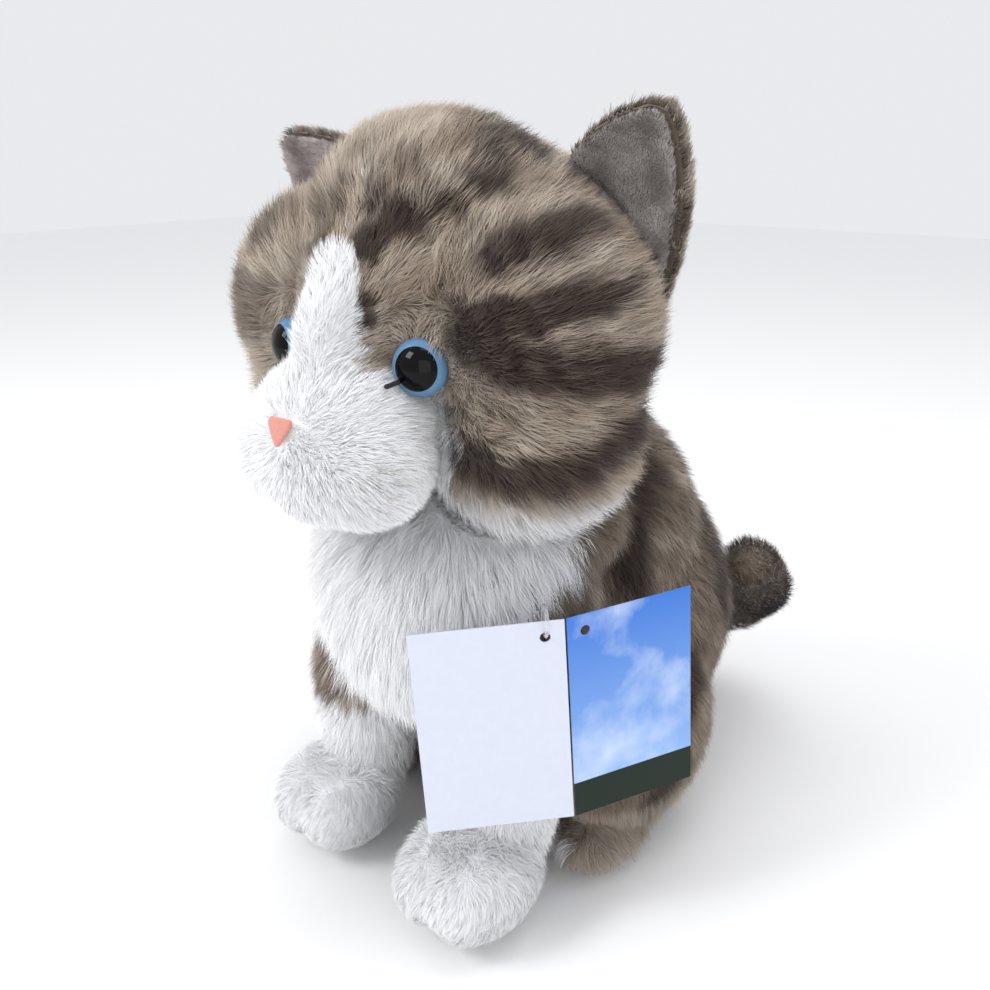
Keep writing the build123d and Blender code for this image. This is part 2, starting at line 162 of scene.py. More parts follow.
# room for the head and cheeks at every turn of the neck
for side in (1, -1):
    for turn in (-NECK_TURN, 0, NECK_TURN):
        a = math.radians(turn)
        x, y = 43 * side, -93 - HEAD_AT[1]
        push_out(co, (x * math.cos(a) - y * math.sin(a), HEAD_AT[1] + x * math.sin(a) + y * math.cos(a), 197),
                 (42, 42, 42))
co[:, 2] = np.maximum(co[:, 2], SEAT_CLEARANCE)
body_skin.data.vertices.foreach_set("co", (co * MM).ravel())
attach(body_skin, "torso")
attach(head_skin, "head")
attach(tail_skin, "tail")
stuffed = ("body_", "chest_", "haunch_", "foreleg_", "hind_foot_")
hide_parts(*[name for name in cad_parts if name.startswith(stuffed)])
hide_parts("head_cover", "head_filling", "muzzle_cover", "blaze_panel")
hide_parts("tail_cover", "tail_filling")
for made, fill in ((body_skin, 0.8), (head_skin, 0.9), (tail_skin, 0.8)):
    made.data.shade_smooth()


# ---- Fur pattern ----
# The pile's dyed colours by place, in millimetres. Both sides of the toy are alike, so the tabby stripes are drawn
# once, at positive x, and are fainter on the right of the forehead.
def waves(q, size, seed):
    """A smooth seeded noise from -1 to 1 whose largest ripple is size long."""
    rng = np.random.default_rng(seed)
    total = np.zeros(len(q))
    for octave in range(3):
        for _ in range(5):
            aim = rng.normal(size=3)
            aim *= 2 * math.pi / size * (1.9 ** octave) / np.linalg.norm(aim)
            total += np.sin(q @ aim + rng.uniform(0, 6.28)) / (1.7 ** octave)
    return np.clip(total / 4.6, -1, 1)


def stroke(q, line, width, wobble, seed):
    """1 along the line, falling to 0 past width from it; the line is points joined by straight runs."""
    line = np.array(line, float)
    best = np.full(len(q), 1e9)
    for a, b in zip(line[:-1], line[1:]):
        along = np.clip(((q - a) @ (b - a)) / ((b - a) @ (b - a)), 0, 1)
        best = np.minimum(best, np.linalg.norm(q - (a + along[:, None] * (b - a)), axis=1))
    best = best + wobble * waves(q, 14, seed)
    return np.clip((1.3 - best / width) / 0.55, 0, 1)


def mix(a, b, t):
    """Colour a turned towards colour b by t, row by row."""
    return a + (b - a) * np.clip(t, 0, 1)[:, None]


LIGHT, WARM, GREY, DARK, WHITE = (np.array(linear(h)[:3]) for h in (
    "#bfb3a4", "#a39280", "#7e6e60", "#33241d", "#f4f5f7"))
# crown, brow, temple, eye and cheek stripes, the mark beside the blaze, and the back of the head, with half widths
HEAD_STRIPES = [
    ([(8, -126, 271), (10, -112, 280), (14, -90, 288), (16, -70, 292)], 7),
    ([(33, -108, 274), (26, -96, 283), (30, -76, 287)], 9),
    ([(11, -141, 259), (18, -129, 266), (26, -120, 268), (36, -106, 273)], 6.5),
    ([(54, -124, 257), (64, -112, 260), (66, -95, 262)], 9),
    ([(46, -139, 238), (67, -130, 240), (80, -110, 245), (78, -92, 246)], 6.5),
    ([(47, -140, 230), (68, -131, 224), (84, -106, 222), (84, -80, 218), (70, -50, 216)], 9),
    ([(38, -134, 194), (54, -131, 187), (67, -124, 185), (82, -104, 191), (80, -80, 198), (66, -50, 200)], 8.5),
    ([(15, -147, 246), (17, -146, 235)], 4.5),
    ([(0, -30, 286), (0, -14, 262), (0, -10, 230), (0, -14, 200)], 7),
    ([(30, -26, 276), (36, -12, 250), (34, -12, 215)], 7),
    ([(60, -40, 262), (66, -34, 235), (60, -30, 205)], 7),
]


def head_colour(q):
    """The head's colour at each point, and how white it is."""
    m = q * (1, 1, 1)
    m[:, 0] = np.abs(m[:, 0])
    tone = waves(q, 46, 3) * 0.5 + waves(q, 17, 4) * 0.5
    colour = mix(np.broadcast_to(WARM, q.shape), LIGHT, 0.5 + 0.9 * tone)
    colour = mix(colour, GREY, np.clip(waves(q, 30, 5) * 0.9 + 0.1, 0, 0.8))
    dark = np.zeros(len(q))
    for i, (line, width) in enumerate(HEAD_STRIPES):
        dark = np.maximum(dark, stroke(m, line, width, 2.6, 20 + i))
    dark *= np.where((q[:, 0] < -8) & (q[:, 1] < -88), 0.6, 1.0)
    colour = mix(colour, DARK, dark * (0.93 + 0.1 * waves(q, 9, 8)))
    # pale round the eyes and below the cheek stripe
    ring = np.clip(1.6 - np.linalg.norm(m - np.array((33, -137, 218)), axis=1) / 13, 0, 1)
    colour = mix(colour, LIGHT * 0.85, ring * 0.75 * (1 - dark))
    low = np.clip((176 - q[:, 2] + 3 * waves(q, 10, 9)) / 8, 0, 1) * (q[:, 1] < -60)
    colour = mix(colour, WHITE * 0.86, low * 0.9)
    # white blaze and muzzle
    half = np.interp(q[:, 2], (190, 205, 212, 222, 236, 250, 256, 259, 260), (30, 28, 22, 15.5, 14, 12, 8.5, 4, 0))
    blaze = (m[:, 0] + 0.9 * waves(q, 5, 10) < half) & (q[:, 1] < -118)
    pad = np.linalg.norm((m - np.array((12, -142, 191))) / np.array((27.5, 32, 30)), axis=1)
    pad = pad < 1 + 0.02 * waves(q, 5, 11)
    white = blaze | pad
    colour[white] = WHITE
    return colour, np.maximum(white, low * 0.9)


def body_colour(q):
    """The body's colour at each point: upright tabby bands, a white bib and white socks; and how white it is."""
    m = q * (1, 1, 1)
    m[:, 0] = np.abs(m[:, 0])
    around = np.degrees(np.arctan2(q[:, 0], -(q[:, 1] - 10)))
    warp = 26 * waves(q, 60, 31) + 10 * waves(q, 22, 32)
    bands = np.sin(np.radians(around * 7.5 + warp * 3 + q[:, 2] * 0.5))
    tone = waves(q, 40, 33) * 0.5 + waves(q, 15, 34) * 0.5
    colour = mix(np.broadcast_to(GREY * 0.82, q.shape), WARM, 0.35 + 0.8 * tone)
    colour = mix(colour, LIGHT, np.clip(waves(q, 26, 35) * 1.2 - 0.35, 0, 0.6))
    colour = mix(colour, DARK, np.clip(bands * 1.1 - 0.05 + 0.5 * tone, 0, 0.95))
    edge = 2.5 * waves(q, 9, 36)
    half = np.interp(q[:, 2], (58, 66, 80, 112, 140, 200), (0, 18, 36, 52, 64, 70))
    bib = (m[:, 0] + edge < half) & (q[:, 1] < -84 + edge)
    sock = (np.hypot((m[:, 0] - 38) / 36, (q[:, 1] + 130) / 50) < 1) & (q[:, 2] + edge * 1.5 < 66)
    white = bib | sock
    colour[white] = WHITE
    foot = ~white & (q[:, 2] < 30) & (q[:, 1] < -30) & (m[:, 0] > 36)
    colour[foot] = mix(colour[foot], LIGHT * 0.8, np.full(foot.sum(), 0.6))
    return colour, white * 1.0


# ---- Fur ----
# Acrylic pile, brushed: strands knitted into the backing cloth, 5 to 18 mm long, cut and combed one way. Every strand
# is one tapered ribbon of two runs. It is drawn about five times as wide as a real fibre, so that it covers and shows.
def node(material, kind, inputs=None, **settings):
    """Adds a shader node; inputs maps a socket's name or number to a value or to another node's output."""
    made = material.node_tree.nodes.new(kind)
    for key, value in settings.items():
        setattr(made, key, value)
    for key, value in (inputs or {}).items():
        if isinstance(value, bpy.types.NodeSocket):
            material.node_tree.links.new(value, made.inputs[key])
        else:
            made.inputs[key].default_value = value
    return made



# acrylic fibre: soft broad sheen, darker at its root, where the pile shades itself
pile, shader = material("acrylic_pile", Roughness=0.62, Sheen_Weight=0.25, Sheen_Roughness=0.5,
                        Specular_IOR_Level=0.25)
strand = node(pile, "ShaderNodeAttribute", attribute_name="strand")
pile.node_tree.links.new(strand.outputs["Color"], shader.inputs["Base Color"])


def fur(name, cloth, body, count, style, paint, keep, seed, wide=0.21):
    """A pile of count strands on cloth: style gives each root its length, its lie in degrees from upright at the
    root and at the tip, and the way it is brushed; paint gives colours by place; keep thins the pile by place."""
    rng = np.random.default_rng(seed)
    mesh = cloth.data
    mesh.calc_loop_triangles()
    tri = np.empty(len(mesh.loop_triangles) * 3, np.int32)
    mesh.loop_triangles.foreach_get("vertices", tri)
    tri = tri.reshape(-1, 3)
    co = points_of(mesh) / MM
    normal = np.empty(len(mesh.vertices) * 3)
    mesh.vertex_normals.foreach_get("vector", normal)
    normal = normal.reshape(-1, 3)
    a, b, c = co[tri[:, 0]], co[tri[:, 1]], co[tri[:, 2]]
    area = np.linalg.norm(np.cross(b - a, c - a), axis=1) * keep((a + b + c) / 3)
    pick = rng.choice(len(tri), size=count, p=area / area.sum())
    u, v = rng.random(count), rng.random(count)
    flip = u + v > 1
    u[flip], v[flip] = 1 - u[flip], 1 - v[flip]
    w = 1 - u - v
    root = a[pick] * w[:, None] + b[pick] * u[:, None] + c[pick] * v[:, None]
    up = normal[tri[pick, 0]] * w[:, None] + normal[tri[pick, 1]] * u[:, None] + normal[tri[pick, 2]] * v[:, None]
    up /= np.linalg.norm(up, axis=1)[:, None]
    length, lie_root, lie_tip, brushed = style(root, up)
    # locks: neighbours lean the same way
    lean = np.stack([waves(root, 9, seed + 50 + i) for i in range(3)], 1) * 0.42
    brushed = brushed / np.linalg.norm(brushed, axis=1)[:, None] + lean + rng.normal(size=(count, 3)) * 0.1
    brushed -= up * np.sum(brushed * up, axis=1)[:, None]
    brushed /= np.linalg.norm(brushed, axis=1)[:, None] + 1e-9
    length = length * rng.uniform(0.72, 1.12, count)
    spread = rng.normal(size=count) * 5
    a1, a2 = np.radians(lie_root + spread), np.radians(np.minimum(lie_tip + spread * 1.5, 88))
    first = up * np.cos(a1)[:, None] + brushed * np.sin(a1)[:, None]
    second = up * np.cos(a2)[:, None] + brushed * np.sin(a2)[:, None]
    p0 = root - up * 0.8
    p1 = root + first * (length * 0.5)[:, None]
    p2 = p1 + second * (length * 0.5)[:, None]
    colour, pale = paint(p1 * 0.3 + p2 * 0.7)
    side = np.cross(first, up)
    side /= np.linalg.norm(side, axis=1)[:, None] + 1e-9
    roll = rng.uniform(-0.9, 0.9, count)
    side = side * np.cos(roll)[:, None] + np.cross(first, side) * np.sin(roll)[:, None]
    half = (wide / 2 * rng.uniform(0.7, 1.3, count))[:, None]
    verts = np.stack([p0 - side * half, p0 + side * half, p1 - side * half * 0.8, p1 + side * half * 0.8, p2], 1)
    verts[:, :, 2] = np.maximum(verts[:, :, 2], 0.3)
    faces_out = np.cross(side, first)
    shading = up * 0.62 + faces_out * 0.38
    shading /= np.linalg.norm(shading, axis=1)[:, None]

    made = bpy.data.meshes.new(name)
    made.vertices.add(count * 5)
    made.vertices.foreach_set("co", (verts.reshape(-1) * MM).astype(np.float32))
    base = np.arange(count, dtype=np.int32)[:, None] * 5
    made.loops.add(count * 7)
    made.loops.foreach_set("vertex_index", (base + np.array([0, 1, 3, 2, 2, 3, 4], np.int32)).ravel())
    made.polygons.add(count * 2)
    starts = (np.arange(count, dtype=np.int32)[:, None] * 7 + np.array([0, 4], np.int32)).ravel()
    made.polygons.foreach_set("loop_start", starts)
    made.update(calc_edges=True)
    made.shade_smooth()
    # colour: darker at the root, each strand a little different
    strand = colour * rng.normal(1, 0.09 - 0.06 * pale, count).clip(0.7, 1.35)[:, None]
    deep = (0.62 + 0.36 * pale)[:, None]
    tint = np.stack([strand * deep, strand * deep, strand * 0.97, strand * 0.97, strand * 1.06], 1)
    rgba = np.concatenate([tint.clip(0, 0.93), np.ones((count, 5, 1))], 2)
    colours = made.color_attributes.new("strand", "FLOAT_COLOR", "POINT")
    colours.data.foreach_set("color", rgba.astype(np.float32).ravel())
    cells = math.ceil(math.sqrt(count))
    cell = np.stack([np.arange(count) % cells, np.arange(count) // cells], 1)[:, None, :]
    corner = np.array([(0.1, 0.1), (0.9, 0.1), (0.9, 0.5), (0.1, 0.5), (0.1, 0.5), (0.9, 0.5), (0.5, 0.9)])
    made.uv_layers.new(name="OFBake").data.foreach_set("uv", ((cell + corner) / cells).astype(np.float32).ravel())
    made.normals_split_custom_set_from_vertices(np.repeat(shading, 5, axis=0))
    piece = bpy.data.objects.new(name, made)
    bpy.context.scene.collection.objects.link(piece)
    made.materials.append(pile)
    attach(piece, body)


EYE_AT, EYE_FACES = (31.5, -136, 221), (0.35, -0.93, 0.06)
STRAND_SHARE = 0.84


def head_style(q, up):
    """Short on the face and longer on the cheeks, brushed away from the nose, and down over the eyes' upper edge."""
    nose = np.array((0, -174, 203))
    brushed = q - nose
    brushed /= np.linalg.norm(brushed, axis=1)[:, None]
    cheek = np.clip((212 - q[:, 2]) / 30, 0, 1) * (q[:, 1] > -150)
    brushed[:, 2] -= cheek * 0.75
    brushed[:, 1] += 0.25
    face = np.clip((-118 - q[:, 1]) / 20, 0, 1)
    length = 11.5 - 5.2 * face + 2.5 * cheek * (1 - face)
    m = np.abs(q[:, 0])
    from_eye = np.linalg.norm(np.stack([m, q[:, 1], q[:, 2]], 1) - np.array(EYE_AT), axis=1)
    length = np.where(from_eye < 15, np.minimum(length, 4.5 + (q[:, 2] > 226) * 1.5), length)
    brow = np.stack([(m - 30) / 15, (q[:, 1] + 136) / 16, (q[:, 2] - 233) / 8], 1)
    brow = np.clip(1 - np.linalg.norm(brow, axis=1), 0, 1)
    brushed[:, 2] -= brow * 5
    length = np.where(brow > 0.1, 7.5, length)
    return length, 36 + 6 * face - 16 * (brow > 0.1), 70 - 4 * face, brushed


def head_keep(part):
    """No pile under the eyes and the nose, little where the neck is sewn in, and more on the face."""
    def keep(q):
        m = np.abs(q[:, 0])
        spot = np.stack([m, q[:, 1], q[:, 2]], 1)
        clear = np.ones(len(q))
        eye = spot - np.array(EYE_AT)
        aim = np.array(EYE_FACES) / np.linalg.norm(EYE_FACES)
        across = np.linalg.norm(eye - (eye @ aim)[:, None] * aim, axis=1)
        clear[(across < 7.6) & (q[:, 1] < -118)] = 0
        nose_half = 0.6 + 4.0 * np.clip((q[:, 2] - 196.5) / 8, 0, 1)
        clear[(q[:, 1] < -158) & (m < nose_half) & (np.abs(q[:, 2] - 201) < 4.0)] = 0
        hidden = np.linalg.norm((q - np.array((0, -80, 158))) / np.array((40, 40, 14)), axis=1) < 1
        clear[hidden] = 0.05
        dense = np.where(q[:, 1] < -110, 1.5, 1.0) * np.where(q[:, 1] > -40, 0.7, 1.0)
        return clear * dense * part(q)
    return keep


fur("head_fur_left", head_skin, "head", int(62000 * STRAND_SHARE), head_style, head_colour,
    head_keep(lambda q: q[:, 0] > 16), 11)
fur("head_fur_right", head_skin, "head", int(50000 * STRAND_SHARE), head_style, head_colour,
    head_keep(lambda q: q[:, 0] < -16), 12)
fur("head_fur_middle", head_skin, "head", int(52000 * STRAND_SHARE), head_style, head_colour,
    head_keep(lambda q: (np.abs(q[:, 0]) <= 16) & (q[:, 1] > -118)), 13)
fur("head_fur_face", head_skin, "head", int(62000 * STRAND_SHARE), head_style, head_colour,
    head_keep(lambda q: (np.abs(q[:, 0]) <= 16) & (q[:, 1] <= -118) | (np.linalg.norm(
        (q - np.array((0, -142, 191))) / np.array((40, 34, 32)), axis=1) < 1)), 14)


def body_style(q, up):
    """Brushed down the body and forward over the paws, and longest on the bib."""
    m = np.abs(q[:, 0])
    white = body_colour(q + up * 5)[1] > 0.5
    back = np.clip((q[:, 1] + 60) / 60, 0, 1)
    brushed = np.stack([0.15 * np.sign(q[:, 0]) * (m > 20), 0.1 + 0.5 * back * (q[:, 2] > 150), -np.ones(len(q))], 1)
    paw = np.clip((34 - q[:, 2]) / 14, 0, 1) * (q[:, 1] < -85)
    brushed[:, 1] -= paw * 1.6
    length = 12.5 + 5.5 * white * (q[:, 2] > 84) - 4.5 * (white * (q[:, 2] < 60)) - 3.0 * paw
    length = np.where((q[:, 2] < 80) & ~white, 10.5, length)
    lie = 34 + 4 * white
    return length, lie, 70 + 2 * white, brushed


def body_keep(part):
    """No pile under the seat and next to none in the neck's seam."""
    def keep(q):
        under = np.linalg.norm((q - np.array(HEAD_AT)) / np.array((79, 79, 69)), axis=1) < 1
        clear = np.where(q[:, 2] < 1.6, 0.0, 1.0) * np.where(q[:, 2] < 6, 0.35, 1.0)
        clear = clear * np.where(under & (q[:, 2] < 171) & (np.hypot(q[:, 0], q[:, 1] + 84) < 40), 0.03, 1.0)
        return clear * part(q)
    return keep


def bib(q):
    return (np.abs(q[:, 0]) < 60) & (q[:, 1] < -82) & (q[:, 2] > 66)


def legs(q):
    return (q[:, 2] <= 66) & (q[:, 1] < -76)


def haunch(q):
    return (q[:, 2] < 100) & (q[:, 1] >= -76) & (q[:, 1] < 18) & (np.abs(q[:, 0]) > 44)


def back(q):
    return ~bib(q) & ~legs(q) & ~haunch(q)


for name, count, part, slot_name, seed in (
    ("body_fur_bib", 64000, bib, "white_fur", 21),
    ("body_fur_foreleg_left", 40000, lambda q: legs(q) & (q[:, 0] > 0), "white_fur", 22),
    ("body_fur_foreleg_right", 40000, lambda q: legs(q) & (q[:, 0] <= 0), "white_fur", 23),
    ("body_fur_haunch_left", 42000, lambda q: haunch(q) & (q[:, 0] > 0), "tabby_fur", 24),
    ("body_fur_haunch_right", 24000, lambda q: haunch(q) & (q[:, 0] <= 0), "tabby_fur", 25),
    ("body_fur_back_left", 64000, lambda q: back(q) & (q[:, 0] > 0), "tabby_fur", 26),
    ("body_fur_back_right", 46000, lambda q: back(q) & (q[:, 0] <= 0), "tabby_fur", 27),
):
    fur(name, body_skin, "torso", int(count * STRAND_SHARE), body_style, body_colour,
        body_keep(part), seed)


def tail_colour(q):
    """Dark rings round a brown tail."""
    nearest = np.argmin(np.linalg.norm(q[:, None, :] - tail_points[None], axis=2), axis=1)
    ring = np.sin(nearest * 1.15 + waves(q, 20, 41)) > 0.25
    colour = mix(np.broadcast_to(GREY, q.shape), WARM, 0.4 + 0.6 * waves(q, 22, 42))
    colour = np.where(ring[:, None], mix(colour, DARK, np.full(len(q), 0.85)), colour)
    return colour, np.zeros(len(q))


def tail_style(q, up):
    """Brushed towards the tip."""
    nearest = np.argmin(np.linalg.norm(q[:, None, :] - tail_points[None], axis=2), axis=1)
    ahead = np.minimum(nearest + 1, len(tail_points) - 1)
    brushed = tail_points[ahead] - tail_points[np.maximum(ahead - 2, 0)]
    return np.full(len(q), 9.0), np.full(len(q), 40.0), np.full(len(q), 74.0), brushed + 1e-6


fur("tail_fur", tail_skin, "tail", int(26000 * STRAND_SHARE), tail_style, tail_colour,
    lambda q: np.ones(len(q)), 31)

# the cloth under the pile takes the pile's own colours, darkened as painted shade of the pile over it: from 55 per cent
# under coloured pile to 97 per cent under white pile
for made, paint in ((head_skin, head_colour), (body_skin, body_colour), (tail_skin, tail_colour)):
    up = np.empty(len(made.data.vertices) * 3)
    made.data.vertex_normals.foreach_get("vector", up)
    tone, pale = paint(points_of(made.data) / MM + up.reshape(-1, 3) * 5)
    rgba = np.concatenate([tone * (0.55 + 0.42 * pale)[:, None], np.ones((len(tone), 1))], 1)
    made.data.color_attributes.new("strand", "FLOAT_COLOR", "POINT").data.foreach_set(
        "color", rgba.astype(np.float32).ravel())
    made.data.materials.append(pile)


# ---- Ears ----
# Fur cloth at the back and short grey velour inside, sewn edge to edge and cupped, with no filling. They are the
# CAD's solids, rounded by a fine remesh, and each has its own nap of strands.
EAR_SEAMS = {"left": ((36, -67, 276), (69, -67, 219), (79, -72, 299)),
             "right": ((-36, -67, 276), (-69, -67, 223), (-96, -80, 290))}
# polyester velour: a dense nap 2 mm high, soft and without a highlight, mottled where it has been brushed
velour, shader = material("velour", Roughness=0.8, Sheen_Weight=0.4, Specular_IOR_Level=0.15)
place = node(velour, "ShaderNodeTexCoord")
nap = node(velour, "ShaderNodeTexNoise", {"Vector": place.outputs["Object"], "Scale": 900.0, "Detail": 4.0})
cloud = node(velour, "ShaderNodeTexNoise", {"Vector": place.outputs["Object"], "Scale": 60.0, "Detail": 3.0})
tone = node(velour, "ShaderNodeValToRGB", {"Fac": cloud.outputs["Fac"]})
tone.color_ramp.elements[0].position, tone.color_ramp.elements[1].position = 0.35, 0.68
tone.color_ramp.elements[0].color, tone.color_ramp.elements[1].color = linear("#837b78"), linear("#b3adab")
velour.node_tree.links.new(tone.outputs["Color"], shader.inputs["Base Color"])
bump = node(velour, "ShaderNodeBump", {"Height": nap.outputs["Fac"], "Strength": 0.5, "Distance": 0.0006})
velour.node_tree.links.new(bump.outputs["Normal"], shader.inputs["Normal"])

for side, (inner_end, outer_end, tip) in EAR_SEAMS.items():
    middle = (np.array(inner_end) + np.array(outer_end)) / 2
    rise = np.array(tip, float) - middle
    rise /= np.linalg.norm(rise)
    made = {}
    for part, thin in (("back", 1.4), ("lining", 0.3)):
        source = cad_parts[f"ear_{side}_{part}"]
        piece = bpy.data.objects.new(f"ear_{side}_{part}_cloth", source.data.copy())
        piece.data.materials.clear()
        bpy.context.scene.collection.objects.link(piece)
        bpy.context.view_layer.objects.active = piece
        piece.select_set(True)
        remesh = piece.modifiers.new("cloth", "REMESH")
        remesh.mode, remesh.voxel_size = "VOXEL", 0.9 * MM
        soft = piece.modifiers.new("soft edge", "SMOOTH")
        soft.factor, soft.iterations = 0.5, 10
        thinner = piece.modifiers.new("thinner", "DISPLACE")
        thinner.strength, thinner.mid_level = -thin * MM, 0.0
        for modifier in ("cloth", "soft edge", "thinner"):
            bpy.ops.object.modifier_apply(modifier=modifier)
        piece.select_set(False)
        piece.data.shade_smooth()
        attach(piece, f"ear_{side}")
        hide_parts(f"ear_{side}_{part}")
        made[part] = piece
    made["lining"].data.materials.append(velour)
    q = points_of(made["back"].data) / MM
    # the fur cloth under the ear's pile: its grey darkened to 60 per cent as painted shade of the pile over it
    rgba = np.tile(np.append(GREY * 0.6, 1), (len(q), 1))
    made["back"].data.color_attributes.new("strand", "FLOAT_COLOR", "POINT").data.foreach_set(
        "color", rgba.astype(np.float32).ravel())
    made["back"].data.materials.append(pile)

    def ear_colour(q):
        return mix(np.broadcast_to(GREY * 1.05, q.shape), LIGHT, 0.5 + 0.8 * waves(q, 14, 61)), np.zeros(len(q))

    def ear_style(q, up):
        return np.full(len(q), 5.0), np.full(len(q), 34.0), np.full(len(q), 66.0), np.tile(rise, (len(q), 1))

    inner = points_of(made["lining"].data) / MM

    def off_lining(q, inner=inner[::7]):
        """Keeps the pile off the side that the lining covers."""
        keep = np.ones(len(q))
        for i in range(0, len(q), 2000):
            near = np.linalg.norm(q[i:i + 2000, None] - inner[None], axis=2).min(1)
            keep[i:i + 2000] = near > 3.4
        return keep

    fur(f"ear_{side}_fur", made["back"], f"ear_{side}", int(24000 * STRAND_SHARE), ear_style, ear_colour,
        off_lining, 70, 0.22)

    def fuzz_colour(q):
        dark, light = (np.array(linear(h)[:3]) for h in ("#857c79", "#b5adab"))
        return mix(np.broadcast_to(dark, q.shape), light, 0.55 + 0.9 * waves(q, 16, 62)), np.zeros(len(q))

    def fuzz_style(q, up):
        return np.full(len(q), 2.6), np.full(len(q), 45.0), np.full(len(q), 72.0), np.tile(rise, (len(q), 1))

    fur(f"ear_{side}_velour_nap", made["lining"], f"ear_{side}", int(30000 * STRAND_SHARE),
        fuzz_style, fuzz_colour, lambda q: np.ones(len(q)), 71, 0.24)


# ---- Eyes ----
# Moulded buttons on shanks that are locked behind the cloth: a blue dome, with a black dome through its middle.
# Both are polished acrylic, so they give small sharp highlights; fine rubbing marks spread them a little.
EYE_SET = (EYE_AT[0] - 1.5, EYE_AT[1] - 0.5, EYE_AT[2] - 0.5)
for side, name in ((1, "left"), (-1, "right")):
    aim = Vector((EYE_FACES[0] * side, EYE_FACES[1], EYE_FACES[2]))
    for part, radii, colour, rough in (("iris", (9.1, 9.1, 4.9), "#5a80a3", 0.12),
                                       ("pupil", (8.2, 8.2, 6.0), "#040405", 0.03)):
        piece = bpy.data.objects.new(f"eye_{name}_{part}_dome", bpy.data.meshes.new(f"eye_{name}_{part}"))
        bpy.context.scene.collection.objects.link(piece)
        bpy.context.view_layer.objects.active = piece
        piece.select_set(True)
        bpy.ops.object.mode_set(mode="EDIT")
        bpy.ops.mesh.primitive_uv_sphere_add(
            segments=96, ring_count=64, radius=MM,
            location=[EYE_SET[0] * side * MM, EYE_SET[1] * MM, EYE_SET[2] * MM],
            rotation=aim.to_track_quat("Z", "Y").to_euler(), scale=radii)
        bpy.ops.object.mode_set(mode="OBJECT")
        piece.select_set(False)
        piece.data.shade_smooth()
        polish, shader = material(f"{part}_plastic_{name}", Base_Color=linear(colour), Roughness=rough,
                                  Specular_IOR_Level=0.16 if part == "pupil" else 0.3)
        place = node(polish, "ShaderNodeTexCoord")
        wear = node(polish, "ShaderNodeTexNoise", {"Vector": place.outputs["Object"], "Scale": 400.0, "Detail": 3.0})
        rub = node(polish, "ShaderNodeMapRange", {"Value": wear.outputs["Fac"], "To Min": rough, "To Max": rough * 1.8})
        polish.node_tree.links.new(rub.outputs["Result"], shader.inputs["Roughness"])
        piece.data.materials.append(polish)
        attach(piece, "head")
        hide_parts(f"eye_{name}_{part}")


# ---- Nose ----
# A moulded pad 13 by 10 mm, point down, flocked in pink and set in the pile. It is the CAD nose, rounded over.
nose = bpy.data.objects.new("nose_pad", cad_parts["nose"].data.copy())
nose.data.materials.clear()
bpy.context.scene.collection.objects.link(nose)
bpy.context.view_layer.objects.active = nose
nose.select_set(True)
remesh = nose.modifiers.new("one skin", "REMESH")
remesh.mode, remesh.voxel_size = "VOXEL", 0.35 * MM
rounded = nose.modifiers.new("rounded", "SMOOTH")
rounded.factor, rounded.iterations = 0.5, 30
for modifier in ("one skin", "rounded"):
    bpy.ops.object.modifier_apply(modifier=modifier)
nose.select_set(False)
nose.data.shade_smooth()
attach(nose, "head")
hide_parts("nose")
# nylon flock: fibres half a millimetre high stand on end, which gives a fine grain and no highlight
flock, shader = material("nose_flock", Roughness=0.85, Sheen_Weight=0.5)
place = node(flock, "ShaderNodeTexCoord")
grain = node(flock, "ShaderNodeTexNoise", {"Vector": place.outputs["Object"], "Scale": 1600.0, "Detail": 5.0})
tone = node(flock, "ShaderNodeValToRGB", {"Fac": grain.outputs["Fac"]})
tone.color_ramp.elements[0].color, tone.color_ramp.elements[1].color = linear("#bd776b"), linear("#d69284")
flock.node_tree.links.new(tone.outputs["Color"], shader.inputs["Base Color"])
bump = node(flock, "ShaderNodeBump", {"Height": grain.outputs["Fac"], "Strength": 0.6, "Distance": 0.0004})
flock.node_tree.links.new(bump.outputs["Normal"], shader.inputs["Normal"])
nose.data.materials.append(flock)


# ---- Tear stitches ----
# One bar of black embroidery thread at the inner corner of each eye, half sunk in the pile, so that three quarters
# of the CAD stitch's length and width show.
# polyester thread: two plies twisted together, drawn coarse enough to show; the twist's lighter and darker stripes are
# painted sheen on the plies and painted shade between them
thread, shader = material("black_thread", Roughness=0.7)
place = node(thread, "ShaderNodeTexCoord")
twist = node(thread, "ShaderNodeTexWave", {"Vector": place.outputs["Object"], "Scale": 900.0, "Distortion": 1.0})
tone = node(thread, "ShaderNodeValToRGB", {"Fac": twist.outputs["Fac"]})
tone.color_ramp.elements[0].color, tone.color_ramp.elements[1].color = linear("#0d0b0b"), linear("#2b2523")
thread.node_tree.links.new(tone.outputs["Color"], shader.inputs["Base Color"])
for side in ("left", "right"):
    stitch = bpy.data.objects.new(f"tear_stitch_{side}_thread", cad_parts[f"tear_stitch_{side}"].data.copy())
    stitch.data.materials.clear()
    bpy.context.scene.collection.objects.link(stitch)
    co = points_of(stitch.data)
    middle = co.mean(0)
    co = middle + (co - middle) * 0.75 + np.array((0.6 * (1 if side == "left" else -1), 1.6, 0.2)) * MM
    stitch.data.vertices.foreach_set("co", co.ravel())
    stitch.data.shade_smooth()
    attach(stitch, "head")
    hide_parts(f"tear_stitch_{side}")
    stitch.data.materials.append(thread)


# ---- Swing tag ----
# One folded card, its inner page plain white and its cover printed in plain colours, on a clear plastic loop. They
# keep their CAD shapes. The print follows the fold, which hangs 4 degrees off upright.
FOLD_LINE = (-0.05102, -0.04757, 0.99756)
CARD_FOOT, BAND_TALL, SKY_FROM, SKY_TO = 0.0629, 0.0135, 0.012, 0.078
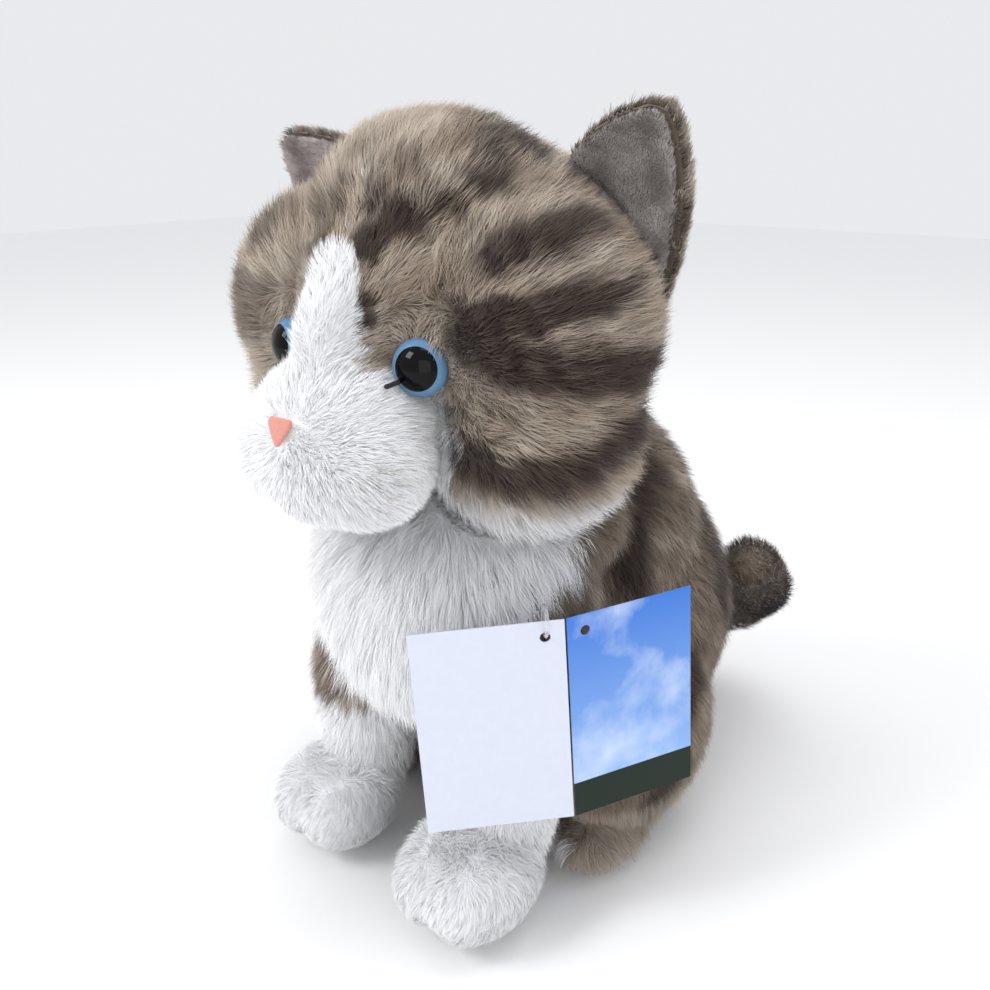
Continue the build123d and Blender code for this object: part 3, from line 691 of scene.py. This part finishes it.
# polyamide, moulded: clear, with a slight haze
clear, shader = material("clear_plastic", Base_Color=linear("#eef2f4"), Roughness=0.12, Transmission_Weight=0.85,
                         IOR=1.45)
place = node(clear, "ShaderNodeTexCoord")
haze = node(clear, "ShaderNodeTexNoise", {"Vector": place.outputs["Object"], "Scale": 500.0})
rub = node(clear, "ShaderNodeMapRange", {"Value": haze.outputs["Fac"], "To Min": 0.08, "To Max": 0.2})
clear.node_tree.links.new(rub.outputs["Result"], shader.inputs["Roughness"])

# coated card: smooth and a little glossy, with faint fibres
page, shader = material("card_white", Roughness=0.32, Coat_Weight=0.3, Coat_Roughness=0.15)
place = node(page, "ShaderNodeTexCoord")
fibre = node(page, "ShaderNodeTexNoise", {"Vector": place.outputs["Object"], "Scale": 260.0, "Detail": 6.0})
tone = node(page, "ShaderNodeValToRGB", {"Fac": fibre.outputs["Fac"]})
tone.color_ramp.elements[0].color, tone.color_ramp.elements[1].color = linear("#c9cddd"), linear("#d2d6e4")
page.node_tree.links.new(tone.outputs["Color"], shader.inputs["Base Color"])

# the same card printed: pale sky low down, deeper above, with soft cloud, and a dark green band at its foot
cover, shader = material("card_printed", Roughness=0.3, Specular_IOR_Level=0.25)
place = node(cover, "ShaderNodeTexCoord")
height = node(cover, "ShaderNodeVectorMath", {0: place.outputs["Object"], 1: FOLD_LINE}, operation="DOT_PRODUCT")
puff = node(cover, "ShaderNodeTexNoise", {"Vector": place.outputs["Object"], "Scale": 28.0, "Detail": 5.0,
                                          "Roughness": 0.55})
rise_up = node(cover, "ShaderNodeMapRange", {"Value": height.outputs["Value"], "From Min": CARD_FOOT + SKY_FROM,
                                              "From Max": CARD_FOOT + SKY_TO})
sky = node(cover, "ShaderNodeValToRGB", {"Fac": rise_up.outputs["Result"]})
sky.color_ramp.elements[0].color, sky.color_ramp.elements[1].color = linear("#8db2e8"), linear("#3f79d2")
soft_cloud = node(cover, "ShaderNodeMapRange", {"Value": puff.outputs["Fac"], "From Min": 0.5, "From Max": 0.75,
                                                "To Max": 0.75})
band = node(cover, "ShaderNodeMath", {0: height.outputs["Value"], 1: CARD_FOOT + BAND_TALL}, operation="LESS_THAN")
# a colour mix node holds its factor in socket 0 and its two colours in sockets 6 and 7, and gives its result at 2
clouded = node(cover, "ShaderNodeMix", {0: soft_cloud.outputs["Result"], 7: linear("#dfe9f7")}, data_type="RGBA")
banded = node(cover, "ShaderNodeMix", {0: band.outputs["Value"], 7: linear("#0c2015")}, data_type="RGBA")
for source, target in ((sky.outputs["Color"], clouded.inputs[6]), (clouded.outputs[2], banded.inputs[6]),
                       (banded.outputs[2], shader.inputs["Base Color"])):
    cover.node_tree.links.new(source, target)
for finish, name in ((clear, "tag_fastener"), (page, "tag_page"), (cover, "tag_cover")):
    for slot_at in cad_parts[name].material_slots:
        slot_at.material = finish


# ---- Inside pieces ----
# The pellet pouch, its pellets and the washers that lock the eyes, which the skins hide.
# undyed cloth and plastic: matt off-white
pale, shader = material("pale_inner", Roughness=0.7)
place = node(pale, "ShaderNodeTexCoord")
weave = node(pale, "ShaderNodeTexNoise", {"Vector": place.outputs["Object"], "Scale": 700.0})
tone = node(pale, "ShaderNodeValToRGB", {"Fac": weave.outputs["Fac"]})
tone.color_ramp.elements[0].color, tone.color_ramp.elements[1].color = linear("#dedbd2"), linear("#efede6")
pale.node_tree.links.new(tone.outputs["Color"], shader.inputs["Base Color"])

for name in ("pellet_pouch", "pellets", "eye_left_washer", "eye_right_washer"):
    for slot_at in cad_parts[name].material_slots:
        slot_at.material = pale
